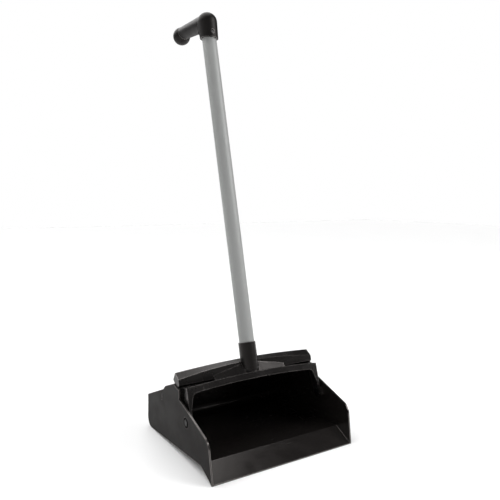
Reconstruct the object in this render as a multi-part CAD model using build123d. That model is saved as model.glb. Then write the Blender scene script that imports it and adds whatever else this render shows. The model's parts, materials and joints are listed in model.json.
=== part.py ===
from build123d import *
import os
from math import cos, radians, tan

# Upright lobby dust pan: a low pan that stands on its lip and heel, a hooded yoke hinged
# between the pan's side walls, and a leaning tube handle with a hooked hand grip.
# Millimetres, +X to the right, -Y towards the lip (front), +Z up.
# Drafting frame: the lip's front edge is Y = 0 and the floor is Z = 0.

# ---------------------------------------------------------------- driving dimensions
OVERALL_HEIGHT = 912.0       # floor to the top of the grip
LEAN = 13.9                  # handle's backward lean when the pan stands on the floor, degrees

# pan
PAN_WIDTH = 318.0            # across the side walls at the lip
PAN_DEPTH = 304.0            # lip edge to the rear wall's foot
SPLAY = 1.34                 # outward lean of the side walls, degrees
WALL = 3.0                   # side walls
SKIN = 2.6                   # floor, rear wall and roof
HEEL_RADIUS = 18.0           # underside to rear wall
KNEE_RADIUS = 24.0           # top of the wall's front edge
STEP_RADIUS = 6.0            # both bends of the step in the roof
CORNER_RADIUS = 3.0          # the wall's small corners
RIB_WIDTH = 2.0              # short upright rib on each wall's outer face
RIB_PROUD = 0.7
RIB_Y = 216.0
RIB_Z = (85.0, 98.0)
OPEN_TOP = 200.0             # cutters reach this height

# pan's outline as (y, z)
LIP_LAND = 2.0               # flat foot of the lip
LIP_THICKNESS = 2.0
LIP_EDGE_HEIGHT = 3.0        # side wall's height at the lip
LIP_RISE = (12.0, 6.5)       # underside of the ramp behind the lip
CREST = (43.0, 20.5)         # underside of the crest where the ramp meets the bin floor
FRONT_CORNER = (10.5, 74.9)
SLANT_TOP = (121.0, 111.3)
NOTCH_CORNER = (129.5, 112.5)
SHOULDER_FRONT = (129.5, 132.8)
SHOULDER_DIP = (139.5, 132.8)
SHOULDER_TOP = (154.5, 137.6)
STEP_HIGH = (196.0, 120.6)
STEP_LOW = (208.5, 110.2)
REAR_TOP = (298.0, 71.7)
ROOF_FRONT = 139.0           # the roof begins this far behind the lip
ROOF_DROP = 1.0              # extra drop of the roof's underside at the step

# hinge
PIVOT_Y = 101.0
PIVOT_Z = 78.0
PIN_RADIUS = 4.0
PIN_CLEARANCE = 0.05         # running fit in the pan's wall
PIN_HEAD_RADIUS = 6.5
PIN_HEAD_THICKNESS = 1.8
PIN_TAIL = 2.0               # pin end beyond its push nut
RECESS_RADIUS = 10.0
RECESS_DEPTH = 1.6
HEAD_GAP = 0.4               # pin head to the recess floor
BOSS_RADIUS = 11.0           # boss inside the wall, round the pin
BOSS_GAP = 0.5               # boss to the yoke's leg
NOTCH_GAP = 2.5              # round notch in the roof that clears the yoke's socket

# yoke, in its own frame: local Z runs along the tube
YOKE_Y = 109.0               # where the frame's origin is in the drafting frame
YOKE_Z = 74.0
LEG_OUTER = 154.0            # outer face of each leg, from the middle
LEG_THICKNESS = 4.5
LEG_FOOT_RADIUS = 9.0
LEG_REAR = 12.0              # rear edge of the leg at its top
AXIS_OFFSET = 6.9            # tube axis behind the frame's origin
FRONT_FACE = -14.0           # front face of the cross bar
BAR_HEIGHT = 13.0
BAR_WALL = 3.0
BAR_END_TOP = 64.5           # top edge of the bar at its ends
BAR_MID_TOP = 71.5           # top edge of the bar at the middle
BAR_CORNER = 11.0            # inner corner between the bar and each leg's flange
FLANGE_TOP_X = 141.0         # flange's inner edge under the bar, from the middle
FLANGE_FOOT_Z = 14.0         # flange has tapered away at this height
SHELF_DROP = 4.0             # shelf below the bar's top edge
HOOD_HALF = 159.5
HOOD_FRONT = 8.7             # hood's front wall
HOOD_FOOT = 69.3             # bottom of the hood's front wall
HOOD_RIDGE = (21.6, 93.1)    # ridge at the hood's ends, (y, z)
HOOD_REAR = (33.8, 80.0)     # rear edge of the hood
HOOD_REAR_FOOT = (29.3, 74.2)
HOOD_VALLEY = (15.5, 65.5)   # lowest point of the hood's end
HOOD_SHOULDER = 80.0         # top of the front wall at the hood's ends
HOOD_SHOULDER_RISE = 13.0    # how much higher it is at the middle
HOOD_RISE = 6.0              # how much higher the ridge is at the middle
HOOD_WALL = 3.0
SOCKET_RADIUS = 18.7
SOCKET_TOP_RADIUS = 18.0
SOCKET_FLOOR = 66.0
SOCKET_TOP = 131.0
SOCKET_ROOT = 5.0            # socket below its floor
GUSSET_REACH = 84.0
GUSSET_TOP = 92.0            # beside the socket
GUSSET_TIP = 76.0            # at its outer end
GUSSET_FRONT = -8.0

# tube
TUBE_RADIUS = 15.9
TUBE_WALL = 1.2
FIT_GAP = 0.05               # tube in the socket and in the grip
TUBE_TOP_Z = 880.0

# grip
SLEEVE_RADIUS = 20.2         # at its rim
ELBOW_RADIUS = 22.2
SLEEVE_BOTTOM_Z = 849.0      # level rim of the sleeve
ELBOW_DROP = 26.0            # elbow centre below the grip's top
BALL_RADIUS = 20.6
ARM_REACH = 137.6            # elbow centre to ball centre
ARM_ROOT_RADIUS = 18.2
ARM_ROOT_RISE = 2.2          # centre of the arm's root above the elbow centre
ARM_END_RADIUS = 14.8
ARM_END_DROP = 0.3           # arm's top below the ball's top
WEB_REACH = 9.0              # web under the arm, beyond the sleeve
WEB_DEPTH = 30.0             # web below the elbow centre
WEB_THICKNESS = 16.0

# screws
SCREW_RADIUS = 2.0
SCREW_HEAD_RADIUS = 3.5
SCREW_HEAD_HEIGHT = 2.2
SCREW_LENGTH = 9.0
SCREW_SLOT = 1.0
SCREW_GAP = 0.02             # thread crests to their hole
SCREW_SEAT = 17.4            # flat under the head, from the tube's axis
SEAT_GAP = 0.6               # seat round the head
SOCKET_SCREW_HEIGHT = 115.0  # along the yoke's own Z
GRIP_SCREW_Z = 857.0

# push-on nuts
NUT_RADIUS = 7.0
NUT_THICKNESS = 1.2

# ---------------------------------------------------------------- derived sizes
AXIS_SLOPE = tan(radians(LEAN))
SPLAY_SLOPE = tan(radians(SPLAY))
HALF_WIDTH = PAN_WIDTH / 2
AXIS_Y_AT_YOKE = YOKE_Y + AXIS_OFFSET / cos(radians(LEAN))
ELBOW_Z = OVERALL_HEIGHT - ELBOW_DROP
ELBOW_Y = AXIS_Y_AT_YOKE + (ELBOW_Z - YOKE_Z) * AXIS_SLOPE
BALL_Y = ELBOW_Y + ARM_REACH
OVERALL_DEPTH = BALL_Y + BALL_RADIUS
ORIGIN_SHIFT = Location((0, -OVERALL_DEPTH / 2, 0))
YOKE_FRAME = Location((0, YOKE_Y, YOKE_Z), (-LEAN, 0, 0))
WALL_AT_PIVOT = HALF_WIDTH + PIVOT_Z * SPLAY_SLOPE
X_CYLINDER = Rot(0, 90, 0)


# ---------------------------------------------------------------- drawing helpers
def along_x(face, x_from, x_to):
    """Extrude a face drawn in the YZ plane from one X to another."""
    return extrude(Pos(x_from, 0, 0) * face, x_to - x_from, dir=(1, 0, 0))


def along_y(face, y_from, y_to):
    """Extrude a face drawn in the XZ plane from one Y to another."""
    return extrude(Pos(0, y_from, 0) * face, y_to - y_from, dir=(0, 1, 0))


def side_face(points):
    """Face in the YZ plane from its (y, z) corners."""
    return make_face(Polyline(*[(0, y, z) for y, z in points], close=True))


def rounded(face, corners, radius):
    """Round a face's corners that lie at the given (y, z) points."""
    for y, z in corners:
        corner = face.vertices().sort_by_distance((0, y, z))[0]
        face = fillet(corner, radius)
    return face


def axis_point(z):
    """Centre of the leaning tube at height z."""
    return Vector(0, AXIS_Y_AT_YOKE + (z - YOKE_Z) * AXIS_SLOPE, z)


def on_axis(z, solid):
    """Move a solid built about local Z onto the tube's axis at a height, leaning with it."""
    return Location(axis_point(z), (-LEAN, 0, 0)) * solid


def mirrored(solid, side):
    """The solid as drawn on the right, or its mirror image on the left."""
    return solid if side > 0 else mirror(solid, about=Plane.YZ)


# ---------------------------------------------------------------- pan
def splayed_block(inset, y_from, y_to):
    """Block between the two leaning side walls' outer faces, moved in by an inset."""
    low = HALF_WIDTH - inset
    high = low + OPEN_TOP * SPLAY_SLOPE
    section = Polyline((-low, 0, 0), (low, 0, 0), (high, 0, OPEN_TOP), (-high, 0, OPEN_TOP), close=True)
    return along_y(make_face(section), y_from, y_to)


def heel(inset):
    """Rounded corner from the underside to the rear wall, moved in by an inset."""
    radius = HEEL_RADIUS - inset
    centre = Vector(0, PAN_DEPTH - HEEL_RADIUS, HEEL_RADIUS)
    middle = Vector(0, cos(radians(45)), -cos(radians(45))) * radius
    return ThreePointArc(centre + Vector(0, 0, -radius), centre + middle, centre + Vector(0, radius, 0))


def heeled_face(inset, points):
    """Face in the YZ plane: the heel's arc, then points over the top to the lip and back."""
    arc = heel(inset)
    return make_face([arc, Polyline(arc @ 1, *[(0, y, z) for y, z in points], arc @ 0)])


def wall_face():
    """Side wall's whole outline."""
    top = [REAR_TOP, STEP_LOW, STEP_HIGH, SHOULDER_TOP, SHOULDER_DIP, SHOULDER_FRONT]
    front = [NOTCH_CORNER, SLANT_TOP, FRONT_CORNER, (0, LIP_EDGE_HEIGHT)]
    underside = [(0, 0), (LIP_LAND, 0), LIP_RISE, CREST]
    face = heeled_face(0, top + front + underside)
    face = rounded(face, [FRONT_CORNER], KNEE_RADIUS)
    face = rounded(face, [STEP_HIGH, STEP_LOW], STEP_RADIUS)
    return rounded(face, [REAR_TOP, NOTCH_CORNER, SHOULDER_FRONT], CORNER_RADIUS)


def hollow_face():
    """The bin's inside, open at the front."""
    roof = [(REAR_TOP[0] - SKIN, REAR_TOP[1] - SKIN), (STEP_LOW[0], STEP_LOW[1] - SKIN - ROOF_DROP),
            (STEP_HIGH[0], STEP_HIGH[1] - SKIN - ROOF_DROP), (SHOULDER_TOP[0], SHOULDER_TOP[1] - SKIN),
            (ROOF_FRONT, SHOULDER_DIP[1] - SKIN)]
    mouth = [(ROOF_FRONT, OPEN_TOP), (-WALL, OPEN_TOP), (-WALL, LIP_THICKNESS)]
    floor = [(0, LIP_THICKNESS), (CREST[0], CREST[1] + SKIN)]
    return heeled_face(SKIN, roof + mouth + floor)


def pivot_boss():
    """Boss inside the right wall, round the pin."""
    start = LEG_OUTER + BOSS_GAP
    length = WALL_AT_PIVOT - WALL / 2 - start
    return Pos(start + length / 2, PIVOT_Y, PIVOT_Z) * X_CYLINDER * Cylinder(BOSS_RADIUS, length)


def pivot_cut():
    """Pin hole through the right wall and the recess for the pin's head."""
    hole = X_CYLINDER * Cylinder(PIN_RADIUS + PIN_CLEARANCE, 8 * WALL)
    recess = Pos(4 * WALL - RECESS_DEPTH, 0, 0) * X_CYLINDER * Cylinder(RECESS_RADIUS, 8 * WALL)
    return Pos(WALL_AT_PIVOT, PIVOT_Y, PIVOT_Z) * (hole + recess)


def wall_rib():
    """Short upright rib on the right wall's outer face."""
    low, high = RIB_Z
    face = HALF_WIDTH + (low + high) / 2 * SPLAY_SLOPE
    rib = Box(2 * RIB_PROUD + WALL, RIB_WIDTH, high - low)
    return Pos(face - WALL / 2, RIB_Y, (low + high) / 2) * Rot(0, SPLAY, 0) * rib


def pan_body():
    """One moulding: ramp, floor, heel, rear wall, roof and both side walls."""
    reach = 2 * HALF_WIDTH
    body = along_x(wall_face(), -reach, reach) & splayed_block(0, 0, PAN_DEPTH)
    body = body - (along_x(hollow_face(), -reach, reach) & splayed_block(WALL, -2 * WALL, PAN_DEPTH))
    for side in (-1, 1):
        body = body + mirrored(wall_rib(), side) + mirrored(pivot_boss(), side)
        body = body - mirrored(pivot_cut(), side)
    notch = Pos(0, 0, SOCKET_FLOOR) * Cylinder(SOCKET_RADIUS + NOTCH_GAP, 100)
    return body - on_axis(YOKE_Z, notch)


# ---------------------------------------------------------------- yoke
def arch_top(x):
    """Height of the bar's top edge at a distance from the middle."""
    return BAR_MID_TOP - (BAR_MID_TOP - BAR_END_TOP) * (x / LEG_OUTER) ** 2


def arch_band(low, high, reach):
    """Face in the XZ plane between two arches, given as drops below the bar's top edge."""
    def arch(drop):
        end = arch_top(reach) - drop
        return ThreePointArc((-reach, 0, end), (0, 0, BAR_MID_TOP - drop), (reach, 0, end))
    upper = arch(high)
    lower = arch(low)
    return make_face([upper, lower, Line(upper @ 0, lower @ 0), Line(upper @ 1, lower @ 1)])


def yoke_bar():
    """Arched cross bar: a front plate and a shelf behind it that reaches the hood."""
    plate = along_y(arch_band(BAR_HEIGHT, 0, LEG_OUTER), FRONT_FACE, FRONT_FACE + BAR_WALL)
    shelf = arch_band(SHELF_DROP + BAR_WALL, SHELF_DROP, LEG_OUTER)
    return plate + along_y(shelf, FRONT_FACE, HOOD_FRONT + HOOD_WALL)


def pivot_in_yoke():
    """The hinge axis in the yoke's own frame."""
    return (YOKE_FRAME.inverse() * Pos(0, PIVOT_Y, PIVOT_Z)).position


def yoke_leg():
    """Flat right leg beside the wall, tapered to a round foot about the hinge axis."""
    pivot = pivot_in_yoke()
    blade = side_face([(FRONT_FACE, BAR_END_TOP), (LEG_REAR, BAR_END_TOP),
                       (pivot.Y + LEG_FOOT_RADIUS, pivot.Z), (pivot.Y - LEG_FOOT_RADIUS, pivot.Z)])
    foot = Pos(LEG_OUTER - LEG_THICKNESS / 2, pivot.Y, pivot.Z) * X_CYLINDER
    leg = along_x(blade, LEG_OUTER - LEG_THICKNESS, LEG_OUTER)
    leg = leg + foot * Cylinder(LEG_FOOT_RADIUS, LEG_THICKNESS)
    return leg - foot * Cylinder(PIN_RADIUS, 4 * LEG_THICKNESS)


def leg_flange():
    """Tapered flange down the front of the right leg, rounded into the bar's plate."""
    inner = LEG_OUTER - LEG_THICKNESS / 2
    near = FLANGE_TOP_X - 2 * BAR_CORNER
    corner = (FLANGE_TOP_X, arch_top(FLANGE_TOP_X) - BAR_HEIGHT)
    outline = [(inner, BAR_END_TOP - BAR_WALL), (near, arch_top(near) - BAR_WALL),
               (near, arch_top(near) - BAR_HEIGHT), corner, (inner, FLANGE_FOOT_Z)]
    front = make_face(Polyline(*[(x, 0, z) for x, z in outline], close=True))
    front = fillet(front.vertices().sort_by_distance((corner[0], 0, corner[1]))[0], BAR_CORNER)
    pivot = pivot_in_yoke()
    foot_edge = pivot.Y - LEG_FOOT_RADIUS
    rear_face = FRONT_FACE + BAR_WALL
    side = side_face([(FRONT_FACE, BAR_END_TOP), (FRONT_FACE, BAR_MID_TOP), (rear_face, BAR_MID_TOP),
                      (rear_face, BAR_END_TOP), (foot_edge + BAR_WALL, pivot.Z), (foot_edge, pivot.Z)])
    return along_y(front, 2 * FRONT_FACE, 0) & along_x(side, 0, LEG_OUTER)


def hood_section(x, inset, shoulder_rise, ridge_rise):
    """Gabled section of the hood at one X, moved in by an inset."""
    front = HOOD_FRONT + inset
    slope_inset = 1.4 * inset
    points = [
        (front, HOOD_FOOT),
        (front, HOOD_SHOULDER + shoulder_rise - inset / 2),
        (HOOD_RIDGE[0], HOOD_RIDGE[1] + ridge_rise - slope_inset),
        (HOOD_REAR[0] - slope_inset, HOOD_REAR[1] + ridge_rise),
        (HOOD_REAR_FOOT[0] - 0.6 * inset, HOOD_REAR_FOOT[1]),
        HOOD_VALLEY,
    ]
    return make_face(Polyline(*[(x, y, z) for y, z in points], close=True))


def hood_form(half, inset):
    """Hood's solid form from end to end, highest at the middle."""
    ends = [hood_section(x, inset, 0, 0) for x in (-half, half)]
    middle = hood_section(0, inset, HOOD_SHOULDER_RISE, HOOD_RISE)
    return loft([ends[0], middle, ends[1]])


def hood():
    """Hollow gabled hood whose ends stand over the pan's shoulders."""
    inner_half = HOOD_HALF - HOOD_WALL
    front = HOOD_FRONT + HOOD_WALL
    rear = HOOD_REAR_FOOT[0] - HOOD_WALL
    mouth = side_face([(front, 0), (rear, 0), (rear, HOOD_REAR_FOOT[1]), (front, HOOD_REAR_FOOT[1])])
    under = along_x(mouth, -inner_half, inner_half)
    return hood_form(HOOD_HALF, 0) - hood_form(inner_half, HOOD_WALL) - under


def gusset():
    """Sloping triangular web from the right side of the socket down to the shelf."""
    side_outline = Polyline((0, 0, SOCKET_FLOOR - 2), (0, 0, GUSSET_TOP), (GUSSET_REACH, 0, GUSSET_TIP),
                            (GUSSET_REACH, 0, SOCKET_FLOOR - 2), close=True)
    web = along_y(make_face(side_outline), GUSSET_FRONT, HOOD_FRONT + 0.5)
    inner_top = Vector(SOCKET_RADIUS - 1.7, HOOD_FRONT, GUSSET_TOP - 1)
    inner_low = Vector(SOCKET_RADIUS - 1.7, GUSSET_FRONT / 2, BAR_MID_TOP - 2.5)
    tip = Vector(GUSSET_REACH, HOOD_FRONT, GUSSET_TIP - 0.5)
    normal = (tip - inner_top).cross(inner_low - inner_top)
    halves = split(web, bisect_by=Plane(origin=inner_top, z_dir=normal), keep=Keep.BOTH)
    return max(halves.solids(), key=lambda half: half.center().Y)


def socket_post():
    """Round socket for the tube."""
    height = SOCKET_TOP - SOCKET_FLOOR + SOCKET_ROOT
    post = Cone(SOCKET_RADIUS, SOCKET_TOP_RADIUS, height)
    return Pos(0, AXIS_OFFSET, SOCKET_TOP - height / 2) * post


def yoke():
    """One moulding: two legs, cross bar, hood, gussets and the tube's socket."""
    body = yoke_bar() + hood() + socket_post()
    for side in (-1, 1):
        body = body + mirrored(yoke_leg(), side) + mirrored(leg_flange(), side) + mirrored(gusset(), side)
    length = SOCKET_TOP - SOCKET_FLOOR + SOCKET_ROOT
    bore = Pos(0, AXIS_OFFSET, SOCKET_FLOOR + length / 2) * Cylinder(TUBE_RADIUS + FIT_GAP, length)
    screw_space = shank_hole() + seat_cut()
    return YOKE_FRAME * (body - bore) - socket_screw_frame() * screw_space


# ---------------------------------------------------------------- tube and grip
def handle_tube():
    """Straight tube from the socket's floor to inside the grip."""
    length = (TUBE_TOP_Z - YOKE_Z) / cos(radians(LEAN)) - SOCKET_FLOOR
    ring = Cylinder(TUBE_RADIUS, length) - Cylinder(TUBE_RADIUS - TUBE_WALL, length + 2)
    tube = YOKE_FRAME * Pos(0, AXIS_OFFSET, SOCKET_FLOOR + length / 2) * ring
    return tube - socket_screw_frame() * shank_hole() - grip_screw_frame() * shank_hole()


def grip_sleeve():
    """Sleeve that widens to the elbow's dome, with a level rim."""
    length = (ELBOW_Z - SLEEVE_BOTTOM_Z) / cos(radians(LEAN))
    cone = Pos(0, 0, -length / 2) * Cone(SLEEVE_RADIUS, ELBOW_RADIUS, length)
    tail = Pos(0, 0, -length - SLEEVE_RADIUS / 2) * Cylinder(SLEEVE_RADIUS, SLEEVE_RADIUS)
    above_rim = Pos(0, ELBOW_Y, SLEEVE_BOTTOM_Z + OPEN_TOP / 2) * Box(OPEN_TOP, OPEN_TOP, OPEN_TOP)
    return on_axis(ELBOW_Z, cone + tail) & above_rim


def grip_arm():
    """Arm from the elbow to the rear, a little thinner at its end."""
    end_z = OVERALL_HEIGHT - ARM_END_RADIUS - ARM_END_DROP
    root = Plane(origin=(0, ELBOW_Y, ELBOW_Z + ARM_ROOT_RISE), z_dir=(0, 1, 0)) * Circle(ARM_ROOT_RADIUS)
    end = Plane(origin=(0, BALL_Y, end_z), z_dir=(0, 1, 0)) * Circle(ARM_END_RADIUS)
    return loft([root, end])


def grip_web():
    """Web in the corner between the sleeve and the arm."""
    far = ELBOW_Y + ELBOW_RADIUS + WEB_REACH
    face = side_face([(ELBOW_Y, ELBOW_Z), (far, ELBOW_Z), (far, ELBOW_Z - ARM_ROOT_RADIUS + 2),
                      (ELBOW_Y + ELBOW_RADIUS - 8, ELBOW_Z - WEB_DEPTH), (ELBOW_Y, ELBOW_Z - WEB_DEPTH)])
    return along_x(face, -WEB_THICKNESS / 2, WEB_THICKNESS / 2)


def hand_grip():
    """Sleeve with a domed elbow, an arm to the rear and a ball that stops the hand."""
    dome = Pos(0, ELBOW_Y, ELBOW_Z) * Sphere(ELBOW_RADIUS)
    ball = Pos(0, BALL_Y, OVERALL_HEIGHT - BALL_RADIUS) * Sphere(BALL_RADIUS)
    grip = grip_sleeve() + dome + grip_arm() + ball + grip_web()
    bore_length = 2 * (TUBE_TOP_Z - SLEEVE_BOTTOM_Z)
    bore = on_axis(TUBE_TOP_Z, Pos(0, 0, -bore_length / 2) * Cylinder(TUBE_RADIUS + FIT_GAP, bore_length))
    return grip - bore - grip_screw_frame() * (shank_hole() + seat_cut())


# ---------------------------------------------------------------- screws
def socket_screw_frame():
    """Frame on the socket's rear face, local Z pointing out of it."""
    return YOKE_FRAME * Location((0, AXIS_OFFSET + SCREW_SEAT, SOCKET_SCREW_HEIGHT), (-90, 0, 0))


def grip_screw_frame():
    """Frame on the front of the grip's sleeve, local Z pointing out of it."""
    return Location(axis_point(GRIP_SCREW_Z), (-LEAN, 0, 0)) * Location((0, -SCREW_SEAT, 0), (90, 0, 0))


def screw():
    """Pan-head screw with its head's underside at local Z = 0 and a cross recess."""
    shank = Pos(0, 0, -SCREW_LENGTH / 2) * Cylinder(SCREW_RADIUS, SCREW_LENGTH)
    head = Pos(0, 0, SCREW_HEAD_HEIGHT / 2) * Cylinder(SCREW_HEAD_RADIUS, SCREW_HEAD_HEIGHT)
    head = fillet(head.edges().group_by(Axis.Z)[-1], SCREW_HEAD_HEIGHT * 0.45)
    slot = Pos(0, 0, SCREW_HEAD_HEIGHT) * Box(SCREW_HEAD_RADIUS, SCREW_SLOT, SCREW_HEAD_HEIGHT)
    return shank + head - slot - Rot(0, 0, 90) * slot


def shank_hole():
    """Cylinder that clears a screw's shank, built about local Z."""
    return Pos(0, 0, -SCREW_LENGTH / 2) * Cylinder(SCREW_RADIUS + SCREW_GAP, 2 * SCREW_LENGTH)


def seat_cut():
    """Flat seat round a screw's head, built about local Z."""
    return Pos(0, 0, SCREW_LENGTH) * Cylinder(SCREW_HEAD_RADIUS + SEAT_GAP, 2 * SCREW_LENGTH)


# ---------------------------------------------------------------- hinge pins
def hinge_pin():
    """Headed pin through the right wall and the yoke's leg."""
    inner_end = LEG_OUTER - LEG_THICKNESS - NUT_THICKNESS - PIN_TAIL
    head_start = WALL_AT_PIVOT - RECESS_DEPTH + HEAD_GAP
    length = head_start - inner_end
    shank = Pos(inner_end + length / 2, 0, 0) * X_CYLINDER * Cylinder(PIN_RADIUS, length)
    head = X_CYLINDER * Cylinder(PIN_HEAD_RADIUS, PIN_HEAD_THICKNESS)
    head = Pos(head_start + PIN_HEAD_THICKNESS / 2, 0, 0) * head
    head = fillet(head.edges().group_by(Axis.X)[-1], PIN_HEAD_THICKNESS / 2)
    return Pos(0, PIVOT_Y, PIVOT_Z) * (shank + head)


def push_nut():
    """Push-on nut that holds the right pin against the inside of the leg."""
    nut = Cylinder(NUT_RADIUS, NUT_THICKNESS) - Cylinder(PIN_RADIUS, 4 * NUT_THICKNESS)
    centre = LEG_OUTER - LEG_THICKNESS - NUT_THICKNESS / 2
    return Pos(centre, PIVOT_Y, PIVOT_Z) * X_CYLINDER * nut


def nodes():
    """Every node's name and its solid, in the drafting frame."""
    made = {
        "pan_body": pan_body(),
        "yoke": yoke(),
        "handle_tube": handle_tube(),
        "hand_grip": hand_grip(),
        "socket_screw": socket_screw_frame() * screw(),
        "grip_screw": grip_screw_frame() * screw(),
    }
    for side, name in ((-1, "left"), (1, "right")):
        made[f"hinge_pin_{name}"] = mirrored(hinge_pin(), side)
        made[f"push_nut_{name}"] = mirrored(push_nut(), side)
    return made


if __name__ == "__main__":
    os.makedirs("parts", exist_ok=True)
    for name, solid in nodes().items():
        export_step(ORIGIN_SHIFT * solid, f"parts/{name}.step")
    print(f"depth {OVERALL_DEPTH:.4f}, moved by {-OVERALL_DEPTH / 2:.4f} along Y")
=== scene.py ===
"""Looks of an upright lobby dust pan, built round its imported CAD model. Metres, +Z up, lip towards -Y.

In the named values, a noise is its cells per metre, its detail and, where it is stretched, its scale along
each axis. A span is the two values between which something changes.
"""

import json
from math import radians

import bmesh
import bpy
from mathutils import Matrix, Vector


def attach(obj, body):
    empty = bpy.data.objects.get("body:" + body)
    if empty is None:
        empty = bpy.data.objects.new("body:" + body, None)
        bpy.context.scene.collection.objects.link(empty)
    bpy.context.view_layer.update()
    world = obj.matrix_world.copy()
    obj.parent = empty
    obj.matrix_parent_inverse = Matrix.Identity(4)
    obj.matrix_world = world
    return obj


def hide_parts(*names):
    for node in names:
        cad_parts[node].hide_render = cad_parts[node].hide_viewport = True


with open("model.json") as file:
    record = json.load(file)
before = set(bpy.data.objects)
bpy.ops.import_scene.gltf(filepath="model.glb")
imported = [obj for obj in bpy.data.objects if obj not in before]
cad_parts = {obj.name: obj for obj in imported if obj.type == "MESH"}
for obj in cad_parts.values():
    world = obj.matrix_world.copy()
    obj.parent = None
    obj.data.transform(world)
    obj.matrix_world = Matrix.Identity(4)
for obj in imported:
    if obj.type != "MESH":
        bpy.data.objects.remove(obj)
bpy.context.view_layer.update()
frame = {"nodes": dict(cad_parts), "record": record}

# ---------------------------------------------------------------- camera
CAMERA_PLACE = (-0.5610, -1.0215, 0.4929)
CAMERA_TURN = (radians(84.657), 0.0, radians(-31.428))
CAMERA_LENS = 38.44
CAMERA_SENSOR = 36.0

# ---------------------------------------------------------------- floor, studio and lights
FLOOR_HALF = 9.0
FLOOR_CLOUD = (3.0, 2.0)     # noise: slow changes of tone
FLOOR_PALE = ((0.93, 0.93, 0.93, 1), (0.95, 0.95, 0.95, 1))
FLOOR_ROUGHNESS = 0.9
FLOOR_SPECULAR = 0.1

BACKDROP = (1.0, 1.0, 1.0, 1)
STUDIO_BRIGHT = 0.42         # radiance of the studio's bright side, low on the left
STUDIO_DARK = 0.06           # and of its dark side, high on the right
BRIGHT_SIDE = (-0.75, 0.20, -0.60)
STUDIO_SPAN = (-1.0, 0.6)    # span along that direction, from dark to bright

SKY_STRENGTH = 3.3           # overhead light, watts per square metre
SKY_WIDTH = radians(82)      # its angular size
SKY_FROM = (-0.17, 0.44, 0.84)  # direction that it comes from

SOFTBOX_PLACE = (2.0, -1.7, 1.9)
SOFTBOX_TARGET = (0.0, 0.1, 0.6)
SOFTBOX_SIZE = (1.8, 2.0)
SOFTBOX_POWER = 58.0         # watts

# ---------------------------------------------------------------- rounded edges of the mouldings
EDGE_WIDTH = {"pan_body": 0.0008, "yoke": 0.0012}
EDGE_SEGMENTS = 3
EDGE_PROFILE = 0.5
SHARP = radians(16)          # edges that bend more than this are rounded
FLAT = radians(0.4)          # faces that meet flatter than this become one
WELD = 0.000002              # corners closer than this become one
NORMAL_WEIGHT = 80           # how far large faces rule the shading of their edges

# ---------------------------------------------------------------- black plastics
# Heights and depths are in metres. A finish's "rough" is the span of its roughness.
PAN_FINISH = {
    "deep": (0.0080, 0.0070, 0.0066, 1), "pale": (0.016, 0.0150, 0.0145, 1),
    "rough": (0.17, 0.25), "grain": 0.000006, "specular": 0.38, "side_rough": 0.36,
}
YOKE_FINISH = {
    "deep": (0.0062, 0.0058, 0.0057, 1), "pale": (0.018, 0.0172, 0.0168, 1),
    "rough": (0.22, 0.30), "grain": 0.000006, "specular": 0.33,
}
GRIP_FINISH = {
    "deep": (0.0070, 0.0066, 0.0064, 1), "pale": (0.024, 0.023, 0.022, 1),
    "rough": (0.38, 0.48), "grain": 0.000030, "specular": 0.20,
}
WARM = (1.0, 0.93, 0.90, 1)  # tint of the plastics' reflections
CLOUD = (22.0, 4.0)          # noise: slow changes of gloss and tone
CLOUD_SPAN = (0.3, 0.7)      # the paint's too
SCUFFS = (260.0, 5.0, (0.08, 1.0, 1.0))        # noise: hairlines along X
SCUFF_SPAN = (0.60, 0.74)
CROSS_SCUFFS = (230.0, 5.0, (1.0, 0.09, 1.0))  # noise: hairlines along Y
CROSS_SCUFF_SPAN = (0.62, 0.75)
PATCHES = (9.0, 2.0)         # noise: patches that the hairlines keep to
PATCH_SPAN = (0.52, 0.68)
SCUFF_TONE = 0.55            # how far hairlines lighten the plastic
SCUFF_ROUGHNESS = 0.12       # and how much rougher they are
SCUFF_DEPTH = 0.000008
WAVES = (34.0, 1.0)          # noise: slow waviness of a moulded face
WAVE_HEIGHT = 0.00018
GRAIN = (1500.0, 2.0)        # noise: fine grain
WEAR_AND_HIGHLIGHT_REACH = 0.0026          # how far from an edge it looks rubbed and carries a painted highlight
WEAR_AND_HIGHLIGHT_SAMPLES = 4
WEAR_AND_HIGHLIGHT_SPAN = (0.995, 0.90)    # cosine between rounded and true normals, from flat to rubbed and highlighted
WEAR_TONE = 0.5              # how far rubbing lightens the plastic
PAINTED_EDGE_HIGHLIGHT = 2.2             # extra specular level near bent edges: a painted highlight
SIDE_SPECULAR = 0.13         # specular level of the pan's textured outer sides
SIDE_SPAN = (0.13, 0.15)     # X times the normal's X, from elsewhere to the outer sides
RING_SPAN = (0.0098, 0.0112)  # radii between which the painted shade in the recess round the hinge fades out

# ---------------------------------------------------------------- tube paint
PAINT_TONES = ((0.305, 0.311, 0.306, 1), (0.355, 0.361, 0.355, 1))
PAINT_RUBBED = (0.36, 0.365, 0.352, 1)
PAINT_SPECULAR = 0.45
FLECK = (2200.0, 2.0)        # noise: specks of the two tones
FLECK_SPAN = (0.35, 0.65)
FLECK_HEIGHT = 0.000006
RUB = (120.0, 4.0, (1.0, 1.0, 0.03))  # noise: faint streaks along Z
RUB_SPAN = (0.56, 0.76)
RUB_AMOUNT = 0.35            # how far full streaks take the rubbed colour
RUB_POLISH = 0.2             # how much smoother full streaks are
PAINT_CLOUD = (40.0, 3.0)    # noise: slow changes of gloss
PAINT_ROUGH = (0.36, 0.47)
PEEL = (620.0, 2.0)          # noise: orange peel
PEEL_HEIGHT = 0.00004

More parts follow.
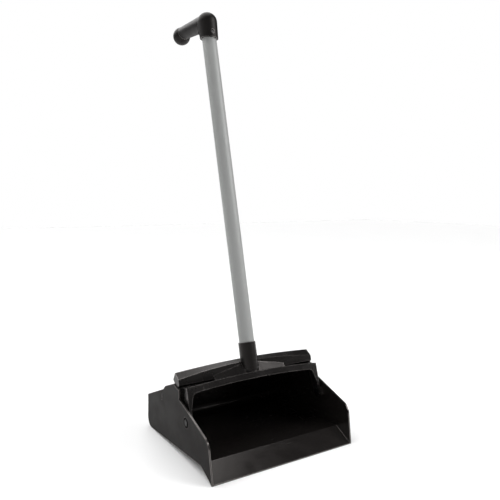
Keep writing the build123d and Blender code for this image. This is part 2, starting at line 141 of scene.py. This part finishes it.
# ---------------------------------------------------------------- pins, nuts and screws
PIN_FINISH = {"dark": (0.010, 0.010, 0.010, 1), "light": (0.024, 0.024, 0.024, 1), "rough": (0.34, 0.48)}
SCREW_FINISH = {"dark": (0.05, 0.05, 0.05, 1), "light": (0.12, 0.12, 0.12, 1), "rough": (0.30, 0.45)}
FILM = (420.0, 4.0)          # noise: uneven finish
FILM_SPAN = (0.3, 0.7)
LINES = (3000.0, 2.0, (0.15, 1.0, 1.0))  # noise: fine lines along X
LINE_HEIGHT = 0.000006


# ---------------------------------------------------------------- shader helpers
def add(tree, kind, values=None, **settings):
    """Add a shader node, set its options, then set or link its inputs by name or number."""
    made = tree.nodes.new(kind)
    for key, value in settings.items():
        setattr(made, key, value)
    for key, value in (values or {}).items():
        if isinstance(value, bpy.types.NodeSocket):
            tree.links.new(value, made.inputs[key])
        else:
            made.inputs[key].default_value = value
    return made


def new_material(name):
    """A material with only an output and a principled shader. Returns it, its tree and the shader."""
    made = bpy.data.materials.new(name)
    made.use_nodes = True
    tree = made.node_tree
    tree.nodes.clear()
    shader = add(tree, "ShaderNodeBsdfPrincipled")
    add(tree, "ShaderNodeOutputMaterial", {"Surface": shader.outputs[0]})
    return made, tree, shader


def noise(tree, scale, detail, stretch=(1.0, 1.0, 1.0)):
    """Noise in the object's own metres, from 0 to 1. The stretch multiplies the scale along each axis."""
    place = add(tree, "ShaderNodeTexCoord").outputs["Object"]
    mapped = add(tree, "ShaderNodeMapping", {"Vector": place, "Scale": stretch})
    values = {"Vector": mapped.outputs[0], "Scale": scale, "Detail": detail}
    return add(tree, "ShaderNodeTexNoise", values).outputs[0]


def remap(tree, value, span, low, high):
    """Map a value's span onto low..high, smoothly and clamped."""
    values = {0: value, 1: span[0], 2: span[1], 3: low, 4: high}
    return add(tree, "ShaderNodeMapRange", values, interpolation_type="SMOOTHSTEP").outputs[0]


def arithmetic(tree, operation, a, b):
    """One arithmetic step on two numbers."""
    return add(tree, "ShaderNodeMath", {0: a, 1: b}, operation=operation).outputs[0]


def vector_step(tree, operation, output, *vectors):
    """One step on one or two vectors. Returns the named output."""
    values = dict(enumerate(vectors))
    return add(tree, "ShaderNodeVectorMath", values, operation=operation).outputs[output]


def mix_colour(tree, factor, a, b):
    """Blend two colours by a factor."""
    return add(tree, "ShaderNodeMix", {0: factor, 6: a, 7: b}, data_type="RGBA").outputs[2]


def bump(tree, height, distance, below=None):
    """Bump of a real height in metres, on top of another one."""
    values = {"Height": height, "Distance": distance, "Strength": 1.0}
    if below is not None:
        values["Normal"] = below
    return add(tree, "ShaderNodeBump", values).outputs[0]


def edges_worn_and_highlighted(tree):
    """1 close to bent edges and 0 on flats, for both wear and a painted highlight."""
    rounded = add(tree, "ShaderNodeBevel", {"Radius": WEAR_AND_HIGHLIGHT_REACH}, samples=WEAR_AND_HIGHLIGHT_SAMPLES).outputs[0]
    flat = add(tree, "ShaderNodeNewGeometry").outputs["Normal"]
    return remap(tree, vector_step(tree, "DOT_PRODUCT", "Value", rounded, flat), WEAR_AND_HIGHLIGHT_SPAN, 0.0, 1.0)


def outer_sides(tree):
    """1 on the outward faces of the left and right sides, and 0 elsewhere."""
    coordinates = add(tree, "ShaderNodeTexCoord")
    place = add(tree, "ShaderNodeSeparateXYZ", {0: coordinates.outputs["Object"]}).outputs["X"]
    facing = add(tree, "ShaderNodeSeparateXYZ", {0: coordinates.outputs["Normal"]}).outputs["X"]
    return remap(tree, arithmetic(tree, "MULTIPLY", place, facing), SIDE_SPAN, 0.0, 1.0)


def hinge_recess_painted_shade(tree):
    """1 within the recess round the hinge axis, which is given painted shade, and 0 elsewhere."""
    hinge = frame["record"]["behaviour"]["joints"][0]["pos_m"]
    place = add(tree, "ShaderNodeTexCoord").outputs["Object"]
    offset = vector_step(tree, "SUBTRACT", "Vector", place, hinge)
    flat = vector_step(tree, "MULTIPLY", "Vector", offset, (0, 1, 1))
    return remap(tree, vector_step(tree, "LENGTH", "Value", flat), RING_SPAN, 1.0, 0.0)


# ---------------------------------------------------------------- materials
def scuffs(tree):
    """Hairline scratches both ways, kept to patches. 1 on a scratch."""
    along = remap(tree, noise(tree, *SCUFFS), SCUFF_SPAN, 0.0, 1.0)
    across = remap(tree, noise(tree, *CROSS_SCUFFS), CROSS_SCUFF_SPAN, 0.0, 1.0)
    patches = remap(tree, noise(tree, *PATCHES), PATCH_SPAN, 0.0, 1.0)
    return arithmetic(tree, "MULTIPLY", arithmetic(tree, "MAXIMUM", along, across), patches)


def moulded_plastic(name, deep, pale, rough, grain, specular, side_rough=0.0):
    """Black moulded plastic: fine grain, slow gloss changes, hairline scuffs and rubbed edges that carry a
    painted highlight.
    """
    made, tree, shader = new_material(name)
    cloud = noise(tree, *CLOUD)
    marks = scuffs(tree)
    # Near bent edges the plastic is lightened as rubbed, and below it also gets a painted highlight.
    wear_and_highlight = edges_worn_and_highlighted(tree)
    worn = arithmetic(tree, "MULTIPLY", wear_and_highlight, WEAR_TONE)
    lightened = arithmetic(tree, "MAXIMUM", worn, arithmetic(tree, "MULTIPLY", marks, SCUFF_TONE))
    tone = mix_colour(tree, arithmetic(tree, "MULTIPLY", lightened, cloud), deep, pale)
    tree.links.new(tone, shader.inputs["Base Color"])
    roughness = remap(tree, cloud, CLOUD_SPAN, *rough)
    roughness = arithmetic(tree, "ADD", roughness, arithmetic(tree, "MULTIPLY", marks, SCUFF_ROUGHNESS))
    if side_rough:
        sides = outer_sides(tree)
        roughness = arithmetic(tree, "ADD", roughness, arithmetic(tree, "MULTIPLY", sides, side_rough))
        # The recess round the hinge loses its reflection and its edge highlight: painted shade.
        unshaded = arithmetic(tree, "SUBTRACT", 1.0, hinge_recess_painted_shade(tree))
        specular = remap(tree, sides, (0.0, 1.0), specular, SIDE_SPECULAR)
        specular = arithmetic(tree, "MULTIPLY", specular, unshaded)
        wear_and_highlight = arithmetic(tree, "MULTIPLY", wear_and_highlight, unshaded)
    tree.links.new(roughness, shader.inputs["Roughness"])
    # Bent edges get extra specular level: a painted highlight.
    shine = arithmetic(tree, "ADD", arithmetic(tree, "MULTIPLY", wear_and_highlight, PAINTED_EDGE_HIGHLIGHT), specular)
    tree.links.new(shine, shader.inputs["Specular IOR Level"])
    shader.inputs["Specular Tint"].default_value = WARM
    waves = bump(tree, noise(tree, *WAVES), WAVE_HEIGHT)
    grained = bump(tree, noise(tree, *GRAIN), grain, waves)
    tree.links.new(bump(tree, marks, -SCUFF_DEPTH, grained), shader.inputs["Normal"])
    return made


def tube_paint():
    """Grey powder coat: orange peel, fleck and faint rubbed streaks along the tube."""
    made, tree, shader = new_material("grey_powder_coat")
    fleck = remap(tree, noise(tree, *FLECK), FLECK_SPAN, 0.0, 1.0)
    rubbed = remap(tree, noise(tree, *RUB), RUB_SPAN, 0.0, RUB_AMOUNT)
    tone = mix_colour(tree, rubbed, mix_colour(tree, fleck, *PAINT_TONES), PAINT_RUBBED)
    tree.links.new(tone, shader.inputs["Base Color"])
    rough = remap(tree, noise(tree, *PAINT_CLOUD), CLOUD_SPAN, *PAINT_ROUGH)
    rough = arithmetic(tree, "SUBTRACT", rough, arithmetic(tree, "MULTIPLY", rubbed, RUB_POLISH))
    tree.links.new(rough, shader.inputs["Roughness"])
    shader.inputs["Specular IOR Level"].default_value = PAINT_SPECULAR
    peel = bump(tree, noise(tree, *PEEL), PEEL_HEIGHT)
    tree.links.new(bump(tree, fleck, FLECK_HEIGHT, peel), shader.inputs["Normal"])
    return made


def steel(name, dark, light, rough):
    """Blackened steel with fine lines and a slightly uneven finish."""
    made, tree, shader = new_material(name)
    shader.inputs["Metallic"].default_value = 1.0
    film = noise(tree, *FILM)
    tree.links.new(mix_colour(tree, film, dark, light), shader.inputs["Base Color"])
    tree.links.new(remap(tree, film, FILM_SPAN, *rough), shader.inputs["Roughness"])
    lines = noise(tree, *LINES)
    tree.links.new(bump(tree, lines, LINE_HEIGHT), shader.inputs["Normal"])
    return made


def make_materials():
    """Every material slot's material."""
    return {
        "pan_plastic": moulded_plastic("black_pan_plastic", **PAN_FINISH),
        "yoke_plastic": moulded_plastic("black_yoke_plastic", **YOKE_FINISH),
        "grip_plastic": moulded_plastic("black_grip_plastic", **GRIP_FINISH),
        "tube_paint": tube_paint(),
        "pin_steel": steel("blackened_pins", **PIN_FINISH),
        "screw_steel": steel("blackened_steel", **SCREW_FINISH),
    }


# ---------------------------------------------------------------- pieces
def add_object(name, data):
    """Put an object with this data in the scene."""
    made = bpy.data.objects.new(name, data)
    bpy.context.scene.collection.objects.link(made)
    return made


def slot_of(node):
    """The record's material slot of a CAD node."""
    return next(p["material_slot"] for p in frame["record"]["subparts"] if p["node"] == node)


def body_of(node):
    """The body that a CAD node belongs to."""
    bodies = frame["record"]["behaviour"]["bodies"]
    return next(body for body, members in bodies.items() if node in members)


def softened_mesh(node, width):
    """A copy of a CAD node's mesh with every sharp edge rounded, as its mould leaves it."""
    form = bmesh.new()
    form.from_mesh(frame["nodes"][node].data)
    bmesh.ops.remove_doubles(form, verts=form.verts, dist=WELD)
    bmesh.ops.dissolve_limit(form, angle_limit=FLAT, verts=form.verts, edges=form.edges)
    sharp = [e for e in form.edges if len(e.link_faces) == 2 and e.calc_face_angle() > SHARP]
    bmesh.ops.bevel(form, geom=sharp, offset=width, offset_type="OFFSET", segments=EDGE_SEGMENTS,
                    profile=EDGE_PROFILE, affect="EDGES", clamp_overlap=True)
    mesh = bpy.data.meshes.new(node + "_moulding")
    form.to_mesh(mesh)
    form.free()
    mesh.shade_smooth()
    return mesh


def softened(node, width, materials):
    """The rounded moulding that stands for a CAD node."""
    mesh = softened_mesh(node, width)
    mesh.materials.clear()
    mesh.materials.append(materials[slot_of(node)])
    piece = add_object(node + "_moulding", mesh)
    piece.modifiers.new("even_normals", "WEIGHTED_NORMAL").weight = NORMAL_WEIGHT
    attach(piece, body_of(node))
    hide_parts(node)


def dress_nodes(materials):
    """Give every CAD node its slot's material."""
    for node, piece in frame["nodes"].items():
        slot = slot_of(node)
        for holder in piece.material_slots:
            holder.material = materials[slot]


# ---------------------------------------------------------------- stage
def aim(place, target):
    """Rotation that points an object's -Z from a place to a target."""
    return (Vector(target) - Vector(place)).to_track_quat("-Z", "Y").to_euler()


def make_softbox():
    """Large soft light at the front right."""
    lamp = bpy.data.lights.new("right_softbox", "AREA")
    lamp.shape = "RECTANGLE"
    lamp.size, lamp.size_y = SOFTBOX_SIZE
    lamp.energy = SOFTBOX_POWER
    holder = add_object("right_softbox", lamp)
    holder.location = SOFTBOX_PLACE
    holder.rotation_euler = aim(SOFTBOX_PLACE, SOFTBOX_TARGET)


def make_sky():
    """A very wide, soft overhead light that fills the whole floor evenly."""
    lamp = bpy.data.lights.new("overhead", "SUN")
    lamp.energy = SKY_STRENGTH
    lamp.angle = SKY_WIDTH
    add_object("overhead", lamp).rotation_euler = aim(SKY_FROM, (0, 0, 0))


def make_world():
    """A white backdrop, and a studio round it that is brighter on one side, for the plastic to reflect."""
    world = bpy.data.worlds.new("studio")
    world.use_nodes = True
    tree = world.node_tree
    tree.nodes.clear()
    direction = add(tree, "ShaderNodeTexCoord").outputs["Generated"]
    along = vector_step(tree, "DOT_PRODUCT", "Value", direction, BRIGHT_SIDE)
    strength = remap(tree, along, STUDIO_SPAN, STUDIO_DARK, STUDIO_BRIGHT)
    studio = add(tree, "ShaderNodeBackground", {"Strength": strength})
    backdrop = add(tree, "ShaderNodeBackground", {"Color": BACKDROP})
    seen = add(tree, "ShaderNodeLightPath").outputs["Is Camera Ray"]
    both = add(tree, "ShaderNodeMixShader", {0: seen, 1: studio.outputs[0], 2: backdrop.outputs[0]})
    add(tree, "ShaderNodeOutputWorld", {"Surface": both.outputs[0]})
    bpy.context.scene.world = world


def make_floor():
    """Plain pale floor."""
    made, tree, shader = new_material("pale_floor")
    tone = mix_colour(tree, noise(tree, *FLOOR_CLOUD), *FLOOR_PALE)
    tree.links.new(tone, shader.inputs["Base Color"])
    shader.inputs["Roughness"].default_value = FLOOR_ROUGHNESS
    shader.inputs["Specular IOR Level"].default_value = FLOOR_SPECULAR
    mesh = bpy.data.meshes.new("floor")
    corners = [(x * FLOOR_HALF, y * FLOOR_HALF, 0.0) for x, y in ((-1, -1), (1, -1), (1, 1), (-1, 1))]
    mesh.from_pydata(corners, [], [(0, 1, 2, 3)])
    mesh.materials.append(made)
    floor = add_object("floor", mesh)


def make_camera():
    """Camera at the height and angle that the object is seen from."""
    lens = bpy.data.cameras.new("camera")
    lens.lens = CAMERA_LENS
    lens.sensor_width = CAMERA_SENSOR
    holder = add_object("camera", lens)
    holder.location = CAMERA_PLACE
    holder.rotation_euler = CAMERA_TURN
    bpy.context.scene.camera = holder


def main():
    """Build the stage, dress the CAD nodes and put the rounded mouldings in place."""
    make_camera()
    make_world()
    make_sky()
    make_softbox()
    make_floor()
    materials = make_materials()
    dress_nodes(materials)
    for node, width in EDGE_WIDTH.items():
        softened(node, width, materials)
    bpy.context.scene.view_settings.view_transform = "Standard"


main()
